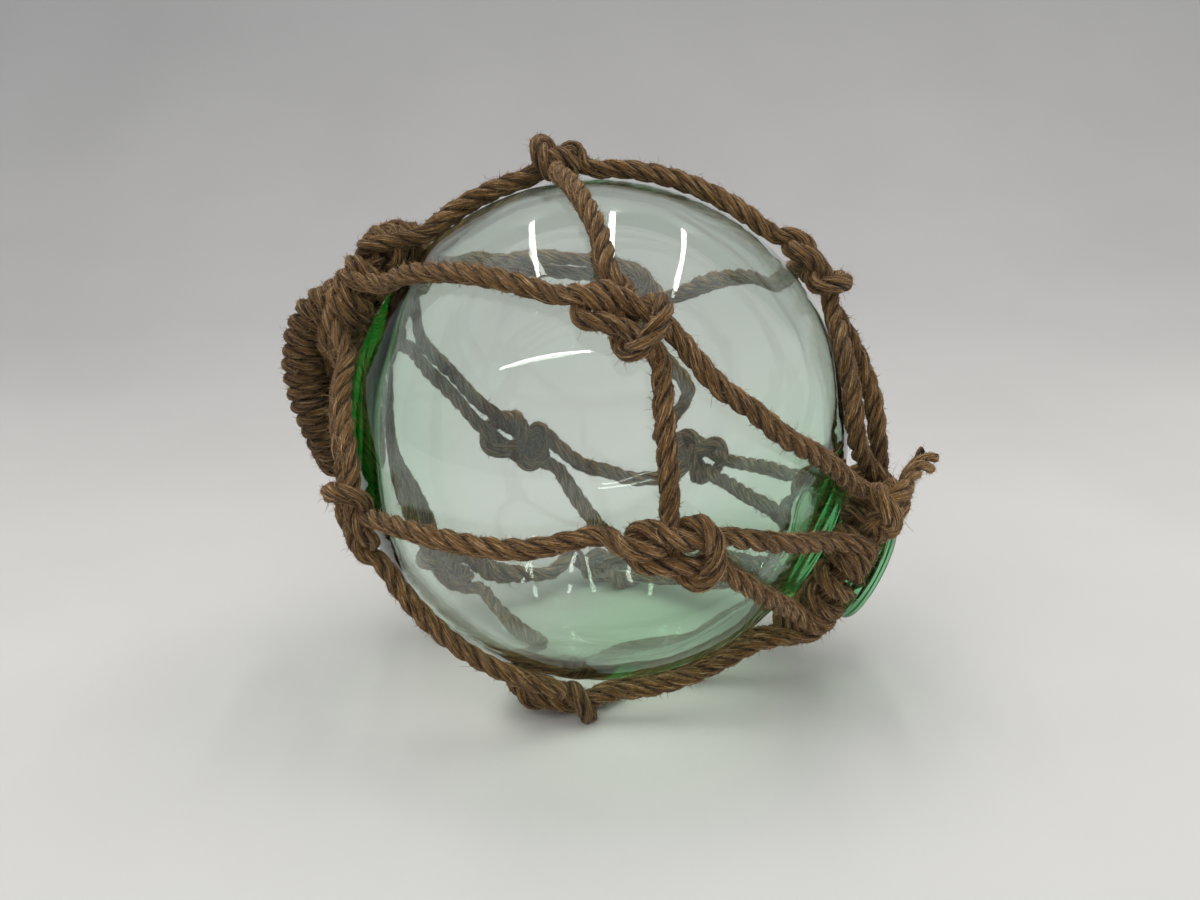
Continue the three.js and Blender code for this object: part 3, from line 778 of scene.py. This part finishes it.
class FLOAT_OT_glass_ball(bpy.types.Operator):
    """Blow the hollow ball, its neck and its seal button"""

    bl_idname = "glass_float.glass_ball"
    bl_label = "Glass ball"

    def outer_profile(self):
        angles = np.linspace(0, math.radians(NECK_FROM), 70)
        points = [(BALL_RADIUS * math.sin(a), -BALL_RADIUS * math.cos(a)) for a in angles]
        start, elbow, neck = np.array(points[-1]), np.array(NECK_ELBOW), np.array(NECK_END)
        for t in np.linspace(0, 1, 14)[1:]:
            points.append(tuple((1 - t) ** 2 * start + 2 * t * (1 - t) * elbow + t * t * neck))
        points += COLLAR
        r, z = DISC_EDGE
        for degrees in np.linspace(-40, 90, 12):
            a = math.radians(degrees)
            points.append((r + DISC_EDGE_RADIUS * math.cos(a), z + DISC_EDGE_RADIUS * math.sin(a)))
        points += DISC_FACE
        points[0] = (0.0, -BALL_RADIUS)
        return points

    def inner_profile(self, wall):
        radius = BALL_RADIUS - wall
        points = [(radius * math.sin(a), -radius * math.cos(a)) for a in np.linspace(0, math.pi, 90)]
        points[0] = (0.0, points[0][1])
        points[-1] = (0.0, points[-1][1])
        return points

    def pool(self, piece, towards, depth, near, far):
        """Thickens the glass round one direction, by drawing the hollow's surface inwards."""
        count = len(piece.data.vertices)
        co = np.zeros(count * 3)
        piece.data.vertices.foreach_get("co", co)
        co = co.reshape(-1, 3)
        radius = np.linalg.norm(co, axis=1)
        angle = np.degrees(np.arccos(np.clip(co @ towards / radius, -1, 1)))
        part = np.clip((far - angle) / (far - near), 0, 1)
        part = part * part * (3 - 2 * part)
        co *= (1 - depth * part / radius)[:, None]
        piece.data.vertices.foreach_set("co", co.ravel())

    def lathe(self, name, profile, flip, ripple, ripple_size):
        """A rippled round surface from an outline of radius and height."""
        mesh = bpy.data.meshes.new(name)
        edges = [(i, i + 1) for i in range(len(profile) - 1)]
        mesh.from_pydata([(r * MM, 0, z * MM) for r, z in profile], edges, [])
        piece = link_piece(name, mesh)
        deselect_all()
        piece.select_set(True)
        bpy.context.view_layer.objects.active = piece
        bpy.ops.object.mode_set(mode="EDIT")
        bpy.ops.mesh.select_all(action="SELECT")
        bpy.ops.mesh.spin(steps=144, angle=2 * math.pi, center=(0, 0, 0), axis=(0, 0, 1))
        bpy.ops.mesh.select_all(action="SELECT")
        bpy.ops.mesh.remove_doubles(threshold=0.00002)
        bpy.ops.mesh.normals_make_consistent(inside=flip)
        bpy.ops.object.mode_set(mode="OBJECT")
        cloud = bpy.data.textures.new(name + "_ripple", "CLOUDS")
        cloud.noise_scale = ripple_size
        cloud.noise_depth = 1
        wave = piece.modifiers.new("ripple", "DISPLACE")
        wave.texture = cloud
        wave.strength = ripple
        wave.mid_level = 0.5
        bpy.ops.object.modifier_apply(modifier=wave.name)
        return piece

    def execute(self, context):
        settings = context.scene.float_ball
        shell = self.lathe("glass_ball_blown", self.outer_profile(), False, settings.ripple, 0.09)
        inner = self.inner_profile(settings.wall / MM)
        hollow = self.lathe("glass_hollow", inner, True, 1.7 * settings.ripple, 0.06)
        across, along = ring_frame(POLES["seal"])
        turned_in = np.array([across, along, POLES["seal"]])
        self.pool(hollow, turned_in @ direction(HEEL_AT), settings.heel, *HEEL_REACH)
        self.pool(hollow, turned_in @ direction(SEAL_POOL_AT), settings.seal_pool, *SEAL_POOL_REACH)
        deselect_all()
        shell.select_set(True)
        hollow.select_set(True)
        context.view_layer.objects.active = shell
        bpy.ops.object.join()
        place = Matrix((across, along, POLES["seal"])).transposed().to_4x4()
        place.translation = Vector(BALL_CENTRE * MM)
        shell.data.transform(place)
        shell.data.shade_smooth()
        shell.data.materials.clear()
        shell.data.materials.append(glass_material(settings))
        settle(shell, GLASS_SLOT, "glass_ball")
        return {"FINISHED"}


def net_material(context):
    settings = context.scene.float_net
    found = bpy.data.materials.get("natural_rope")
    return found or rope_material(settings, "natural_rope", 1.0)


def rope_nodes(*words):
    """The CAD nodes whose names start with one of these words."""
    return [name for name in frame["nodes"] if name.startswith(words)]


def long_line(squeeze):
    """The net's long line, from the crown's ring through every knot to the seal's ring."""
    path = list(reversed(hitch_points("crown", LEGS["crown"][("front_high", "through")], 1)))
    previous = "crown"
    for name, inwards in LINE_ORDER:
        places = [*LINE_IN, *LINE_OUT]
        if not inwards:
            places = places[::-1]
        points = knot_points(name, places, squeeze)
        key = "-".join(sorted([previous, name])) if previous != "crown" else "front_high-crown-through"
        path += over_the_ball(path[-1], points[0], key) + points
        previous = name
    bight = bight_points("front_high", squeeze)[::-1]
    path += over_the_ball(path[-1], bight[0], "front_high-front_low") + bight
    hitch = hitch_points("seal", LEGS["seal"][("front_high", "a")], 1)
    path += over_the_ball(path[-1], hitch[0], "front_high-seal-a") + hitch
    return path


def pair_rope(name, pole, squeeze):
    """A bight of rope with both legs hitched to one ring."""
    hands = {"a": 1, "b": -1}
    hitches = {leg: hitch_points(pole, LEGS[pole][(name, leg)], hand) for leg, hand in hands.items()}
    bight = bight_points(name, squeeze)
    ways = {}
    for leg, port, side in (("a", bight[0], 1), ("b", bight[-1], -1)):
        key = f"{name}-{pole}-{leg}"
        if pole == "crown" and key not in BY_WAY_OF:
            ways[leg] = side_by_side(name, hitches, side)
        else:
            ways[leg] = over_the_ball(port, hitches[leg][0], key)
    return hitches["a"][::-1] + ways["a"][::-1] + bight + ways["b"] + hitches["b"]


def side_by_side(name, hitches, side):
    """One of two ropes that lie against each other on the way from a knot to a ring."""
    out, along, _ = knot_frame(name)
    a, b = (unit(np.array(hitches[leg][0][:3])) for leg in ("a", "b"))
    goal = unit(a + b)
    points = []
    for part in (0.2, 0.4, 0.6, 0.78):
        towards = between(unit(out + along * 0.17), goal, part)
        sideways = unit(np.cross(towards, tangent_towards(towards, goal))) * KNOTS[name]["side"]
        place = unit(towards + sideways * side * PAIR_GAP / (BALL_RADIUS + ROPE_LIFT))
        points.append((*(place * (BALL_RADIUS + ROPE_LIFT)), 1.0))
    return points


class FLOAT_OT_net_line(bpy.types.Operator):
    """Lay the long line that ties every knot of the net"""

    bl_idname = "glass_float.net_line"
    bl_label = "Net line"

    def execute(self, context):
        settings = context.scene.float_net
        radius, lay = settings.rope / MM / 2, settings.lay / MM
        rope = RopeMesh()
        rope.add_rope(rope_path(long_line(settings.squeeze), radius), radius, lay, SEEDS["line"], tone=0.5)
        piece = rope.build("net_long_line", net_material(context))
        settle(piece, ROPE_SLOT, *rope_nodes("knot_", "rope_"))
        return {"FINISHED"}


class FLOAT_OT_net_pairs(bpy.types.Operator):
    """Lay the paired ropes that run from the knots to the two rings"""

    bl_idname = "glass_float.net_pairs"
    bl_label = "Net pairs"

    def execute(self, context):
        settings = context.scene.float_net
        radius, lay = settings.rope / MM / 2, settings.lay / MM
        for pole in ("crown", "seal"):
            rope = RopeMesh()
            for i, (name, knot) in enumerate(KNOTS.items()):
                if knot["pair"] != pole:
                    continue
                path = rope_path(pair_rope(name, pole, settings.squeeze), radius)
                rope.add_rope(path, radius, lay, SEEDS["pairs"] + i, tone=0.42 + 0.04 * (i % 5), phase=i)
            for i, turns in enumerate(EXTRA_TURNS.get(pole, [])):
                path = rope_path(wound(*turns), radius)
                rope.add_rope(path, 0.92 * radius, lay, SEEDS["turns"] + i, tone=0.55, phase=i)
            piece = rope.build(f"net_pairs_to_{pole}", net_material(context))
            settle(piece, ROPE_SLOT)
        return {"FINISHED"}


class FLOAT_OT_rings(bpy.types.Operator):
    """Lay the rope rings that the net's ropes are hitched to"""

    bl_idname = "glass_float.rings"
    bl_label = "Rings"

    def execute(self, context):
        for pole, axis in POLES.items():
            path = np.array([(*on_ring(pole, a)[1], 1.0) for a in np.linspace(0, 2 * np.pi + 0.15, 160)])
            rope = RopeMesh()
            rope.add_rope(path, RING_CORE["radius"], RING_CORE["lay"], SEEDS["ring"], tone=0.4, sides=9)
            first, last, count = LASHINGS[pole]
            turns = []
            for part in np.linspace(0, 1, int(16 * count)):
                phi = 2 * math.pi * count * part
                outward, core = on_ring(pole, math.radians(first + (last - first) * part))
                aside = outward * math.cos(phi) + axis * math.sin(phi)
                turns.append((*(core + LASHING["reach"] * aside), TIGHT))
            radius = LASHING["radius"]
            path = rope_path(turns, radius)
            rope.add_rope(path, radius, LASHING["lay"], SEEDS["lashing"], tone=0.55, sides=10)
            piece = rope.build(f"{pole}_ring_rope", net_material(context))
            settle(piece, ROPE_SLOT, f"{pole}_ring")
        return {"FINISHED"}


class FLOAT_OT_handle(bpy.types.Operator):
    """Serve the handle at the crown with turns of cord"""

    bl_idname = "glass_float.handle"
    bl_label = "Served handle"

    def execute(self, context):
        settings = context.scene.float_handle
        cord, pitch = settings.cord / MM / 2, settings.pitch / MM
        line = path_through([(*place, 1.0) for place in HANDLE_LINE], 1.0)
        points = line[:, :3]
        _, normals, binormals = moving_frames(points)
        lengths = distances(points)
        wrap = SERVING["reach"] - cord
        turns = lengths[-1] / pitch
        at = np.linspace(0, lengths[-1], int(turns * 26))
        psi = 2 * np.pi * at / pitch
        rng = np.random.default_rng(SEEDS["wobble"])
        wobble = 1 + 0.05 * np.interp(at, np.arange(0, 400, 4.0), rng.uniform(-1, 1, 100))
        centre, n, b = (
            np.stack([np.interp(at, lengths, rows[:, c]) for c in range(3)], axis=1)
            for rows in (points, normals, binormals))
        coil = centre + (n * np.cos(psi)[:, None] + b * np.sin(psi)[:, None]) * (wrap * wobble)[:, None]
        path = path_through(np.column_stack([coil, np.ones(len(coil))]), 1.5)
        serving = RopeMesh()
        serving.add_rope(path, cord, SERVING["lay"], SEEDS["serving"], tone=0.45, sides=8)
        serving.add_plain(line, wrap - 1.5, sides=12, tone=0.2)
        net = context.scene.float_net
        material = rope_material(net, "served_rope", 0.8)
        piece = serving.build("served_handle", material)
        settle(piece, SERVING_SLOT, "crown_handle")
        return {"FINISHED"}


class FLOAT_OT_stopper(bpy.types.Operator):
    """Tie the stopper knot by the seal, with its frayed tail"""

    bl_idname = "glass_float.stopper"
    bl_label = "Stopper knot and tail"

    def execute(self, context):
        settings = context.scene.float_net
        middle = np.array(STOPPER_AT, float)
        out = unit(middle)
        side = unit(np.cross([0.0, 0.0, 1.0], out))
        up = np.cross(out, side)
        loops = []
        for t in np.linspace(0.35, 2 * np.pi - 0.1, 40):
            x, y, z = math.sin(t) + 2 * math.sin(2 * t), math.cos(t) - 2 * math.cos(2 * t), -math.sin(3 * t)
            across, outwards = STOPPER_KNOT["across"], STOPPER_KNOT["outwards"]
            loops.append((*(middle + across * (x * side + y * up) + outwards * z * out), 1.0))
        rope = RopeMesh()
        radius = settings.rope / MM / 2
        rope.add_rope(path_through(loops, 1.4), radius, STOPPER_KNOT["lay"], SEEDS["stopper"], tone=0.8)
        piece = rope.build("stopper_knot", net_material(context))
        settle(piece, ROPE_SLOT, "stopper_knot_and_tail")

        tail = RopeMesh()
        line = path_through([(*place, 1.0) for place in TAIL_LINE], 1.2)

        def splay(lengths, k):
            start = TAIL["frayed_from"]
            loose = np.clip((lengths - start * lengths[-1]) / ((1 - start) * lengths[-1]), 0, 1)
            return loose ** 1.5 * TAIL["splay"][k]

        tail.add_rope(line, TAIL["radius"], TAIL["lay"], SEEDS["tail"], tone=0.85, sides=10, splay=splay)
        piece = tail.build("rope_tail", net_material(context))
        settle(piece, ROPE_SLOT)
        return {"FINISHED"}


class FLOAT_OT_loose_fibres(bpy.types.Operator):
    """Raise short fuzz and long loose fibres from the ropes"""

    bl_idname = "glass_float.loose_fibres"
    bl_label = "Loose fibres"

    def gather(self, context):
        """Points on every rope's surface, with the way out and the way of the fibre."""
        places, outs, ways, tones = [], [], [], []
        for piece in context.scene.objects:
            if piece.type != "MESH" or "fibre" not in piece.data.attributes:
                continue
            mesh = piece.data
            n = len(mesh.vertices)
            sheets = [np.zeros(n * 3) for _ in range(3)]
            mesh.vertices.foreach_get("co", sheets[0])
            mesh.vertex_normals.foreach_get("vector", sheets[1])
            mesh.attributes["fibre"].data.foreach_get("vector", sheets[2])
            crest, tone = np.zeros(n), np.zeros(n)
            mesh.attributes["crest"].data.foreach_get("value", crest)
            mesh.attributes["tone"].data.foreach_get("value", tone)
            co, no, fi = (sheet.reshape(-1, 3) for sheet in sheets)
            co = co / MM - BALL_CENTRE
            keep = (crest > 0.3) & (np.linalg.norm(co, axis=1) > BALL_RADIUS + 2.5)
            for kept, rows in ((places, co), (outs, no), (ways, fi), (tones, tone)):
                kept.append(rows[keep])
            mesh.attributes.remove(mesh.attributes["fibre"])
        return np.vstack(places), np.vstack(outs), np.vstack(ways), np.concatenate(tones)

    def grow(self, rng, sources, count, lengths, thickness, lift, bends):
        """Fibres as thin three-sided spikes, each with a bend or two."""
        places, outs, ways, tones = sources
        chosen = rng.integers(0, len(places), count)
        start, out = places[chosen], outs[chosen]
        way = ways[chosen] * rng.choice([-1.0, 1.0], count)[:, None]
        start = start + way * rng.uniform(-1, 1, count)[:, None] - out * 0.25
        heading = way * rng.uniform(0.35, 1.0, count)[:, None] + out * rng.uniform(*lift, count)[:, None]
        heading += rng.normal(0, 0.28, (count, 3))
        heading /= np.linalg.norm(heading, axis=1)[:, None]
        bend = rng.normal(0, 0.42, (count, 3))
        spine = [start]
        for _ in range(bends):
            spine.append(spine[-1] + heading * (lengths / bends)[:, None])
            heading = heading + bend + rng.normal(0, 0.1, (count, 3))
            heading /= np.linalg.norm(heading, axis=1)[:, None]
        first = np.cross(spine[1] - spine[0], [0.31, 0.52, 0.79])
        first /= np.linalg.norm(first, axis=1)[:, None]
        second = np.cross(spine[1] - spine[0], first)
        second /= np.linalg.norm(second, axis=1)[:, None]
        rings = []
        for k in range(bends):
            thick = (thickness * (1 - 0.35 * k / bends))[:, None]
            for angle in (0.0, 2.094, 4.189):
                rings.append(spine[k] + thick * (math.cos(angle) * first + math.sin(angle) * second))
        points = np.stack([*rings, spine[-1]], axis=1)
        clear = np.linalg.norm(points, axis=2).min(axis=1) > BALL_RADIUS + 0.6
        above = (points[:, :, 2] + BALL_CENTRE[2]).min(axis=1) > 0.2
        points, tones = points[clear & above], tones[chosen][clear & above]
        cells = [[0, 2, 1]]
        for k in range(bends - 1):
            for j in range(3):
                a, b = 3 * k + j, 3 * k + (j + 1) % 3
                cells += [[a, b, b + 3], [a, b + 3, a + 3]]
        last, tip = 3 * (bends - 1), 3 * bends
        cells += [[last + j, last + (j + 1) % 3, tip] for j in range(3)]
        size = points.shape[1]
        faces = (np.array(cells)[None] + (np.arange(len(points)) * size)[:, None, None]).reshape(-1, 3)
        shade = np.clip(rng.normal(0.55, 0.22, len(points)) + (tones - 0.5), 0, 1)
        return points.reshape(-1, 3), faces, np.repeat(shade, size)

    def build(self, name, material, points, faces, shade):
        mesh = bpy.data.meshes.new(name)
        mesh.from_pydata(((points + BALL_CENTRE) * MM).tolist(), [], faces.tolist())
        store(mesh, "tone", shade)
        piece = link_piece(name, mesh)
        mesh.materials.append(material)
        settle(piece, ROPE_SLOT)

    def execute(self, context):
        settings = context.scene.float_net
        rng = np.random.default_rng(SEEDS["fibres"])
        sources = self.gather(context)
        material = fibre_material()
        half = settings.fuzz // 2
        for name in ("rope_fuzz", "rope_fuzz_more"):
            lengths = np.clip(rng.lognormal(0.8, 0.45, half), 1.0, 6.0)
            spikes = self.grow(rng, sources, half, lengths, rng.uniform(0.12, 0.24, half), (0.3, 1.3), 1)
            self.build(name, material, *spikes)
        count = settings.loose_fibres
        lengths = np.clip(rng.lognormal(1.55, 0.5, count), 2.5, 16)
        hairs = self.grow(rng, sources, count, lengths, rng.uniform(0.08, 0.16, count), (0.2, 1.1), 4)
        self.build("loose_fibres", material, *hairs)
        return {"FINISHED"}


class FLOAT_OT_stage(bpy.types.Operator):
    """Set the pale sweep, the soft lights and the camera"""

    bl_idname = "glass_float.stage"
    bl_label = "Stage"

    def execute(self, context):
        deselect_all()
        bpy.ops.mesh.primitive_plane_add(size=1, location=(0, 0, 0))
        sweep = context.object
        sweep.name = "pale_sweep"
        mesh = sweep.data
        mesh.clear_geometry()
        bend, bend_at, half = SWEEP["bend"], SWEEP["bend_at"], SWEEP["half_width"]
        profile = [(SWEEP["front"], 0.0), (bend_at, 0.0)]
        for a in np.linspace(0, math.pi / 2, 24)[1:]:
            profile.append((bend_at + bend * math.sin(a), bend - bend * math.cos(a)))
        profile.append((bend_at + bend, SWEEP["top"]))
        points = [(x, y, z) for y, z in profile for x in (-half, half)]
        faces = [(2 * i, 2 * i + 1, 2 * i + 3, 2 * i + 2) for i in range(len(profile) - 1)]
        mesh.from_pydata(points, [], faces)
        mesh.shade_smooth()
        mesh.materials.append(stage_material())

        world = bpy.data.worlds.new("studio_air")
        world.use_nodes = True
        where = add_node(world, "ShaderNodeTexCoord").outputs["Generated"]
        slope = add_node(world, "ShaderNodeVectorMath", {0: where}, operation="DOT_PRODUCT")
        slope.inputs[1].default_value = AIR_SLOPE
        level = add_node(world, "ShaderNodeMath", {0: slope.outputs["Value"]}, operation="ADD")
        level.inputs[1].default_value = AIR_LEVEL
        level = add_node(world, "ShaderNodeMath", {0: level.outputs["Value"]}, operation="MAXIMUM")
        level.inputs[1].default_value = AIR_LEAST
        air = world.node_tree.nodes["Background"]
        air.inputs["Color"].default_value = AIR_COLOUR
        world.node_tree.links.new(level.outputs["Value"], air.inputs["Strength"])
        context.scene.world = world

        context.scene.view_settings.view_transform = "Standard"
        paths = context.scene.cycles
        paths.max_bounces = paths.transmission_bounces = 24
        paths.glossy_bounces = 16
        centre = Vector(BALL_CENTRE * MM)
        for name, x, y, length, turn in STRIPS:
            light = bpy.data.lights.new(name, "AREA")
            light.shape = "RECTANGLE"
            light.size, light.size_y = length, STRIP["width"]
            light.energy = STRIP["watts"]
            light.color = STRIP["colour"]
            lamp = link_piece(name, light)
            lamp.location = centre + Vector((x, y, STRIP["up"]))
            lamp.rotation_euler = (0, 0, math.radians(turn))

        camera = bpy.data.cameras.new("camera")
        camera.lens, camera.sensor_width = CAMERA["lens"], CAMERA["sensor"]
        camera.clip_start = 0.02
        eye = link_piece("camera", camera)
        pitch, roll = math.radians(CAMERA["pitch"]), math.radians(CAMERA["roll"])
        forward = Vector((0, math.cos(pitch), -math.sin(pitch)))
        level, up = Vector((1, 0, 0)), Vector((0, math.sin(pitch), math.cos(pitch)))
        right = math.cos(roll) * level - math.sin(roll) * up
        above = math.cos(roll) * up + math.sin(roll) * level
        turn = Matrix((right, above, -forward)).transposed().to_4x4()
        turn.translation = centre + Vector(CAMERA["from_middle"])
        eye.matrix_world = turn
        context.scene.camera = eye
        return {"FINISHED"}


class FLOAT_PT_panel(bpy.types.Panel):
    """Lists the float's pieces and settings"""

    bl_label = "Glass Float"
    bl_space_type = "VIEW_3D"
    bl_region_type = "UI"
    bl_category = "Glass Float"

    def draw(self, context):
        for group, operators in PANEL_ROWS:
            box = self.layout.box()
            settings = getattr(context.scene, group, None)
            if settings is not None:
                for name in settings.__annotations__:
                    box.prop(settings, name)
            for operator in operators:
                box.operator(operator.bl_idname)


PANEL_ROWS = (
    ("float_ball", (FLOAT_OT_glass_ball,)),
    ("float_net", (
        FLOAT_OT_net_line, FLOAT_OT_net_pairs, FLOAT_OT_rings, FLOAT_OT_stopper, FLOAT_OT_loose_fibres)),
    ("float_handle", (FLOAT_OT_handle,)),
    ("stage", (FLOAT_OT_stage,)),
)
CLASSES = (
    FloatBallSettings, NetSettings, HandleSettings, FLOAT_OT_stage, FLOAT_OT_glass_ball, FLOAT_OT_net_line,
    FLOAT_OT_net_pairs, FLOAT_OT_rings, FLOAT_OT_handle, FLOAT_OT_stopper, FLOAT_OT_loose_fibres,
    FLOAT_PT_panel,
)


def register():
    for cls in CLASSES:
        bpy.utils.register_class(cls)
    bpy.types.Scene.float_ball = bpy.props.PointerProperty(type=FloatBallSettings)
    bpy.types.Scene.float_net = bpy.props.PointerProperty(type=NetSettings)
    bpy.types.Scene.float_handle = bpy.props.PointerProperty(type=HandleSettings)


def unregister():
    del bpy.types.Scene.float_handle
    del bpy.types.Scene.float_net
    del bpy.types.Scene.float_ball
    for cls in reversed(CLASSES):
        bpy.utils.unregister_class(cls)


def main():
    register()
    bpy.ops.glass_float.stage()
    bpy.ops.glass_float.glass_ball()
    bpy.ops.glass_float.net_line()
    bpy.ops.glass_float.net_pairs()
    bpy.ops.glass_float.rings()
    bpy.ops.glass_float.handle()
    bpy.ops.glass_float.stopper()
    bpy.ops.glass_float.loose_fibres()


if __name__ == "__main__":
    main()
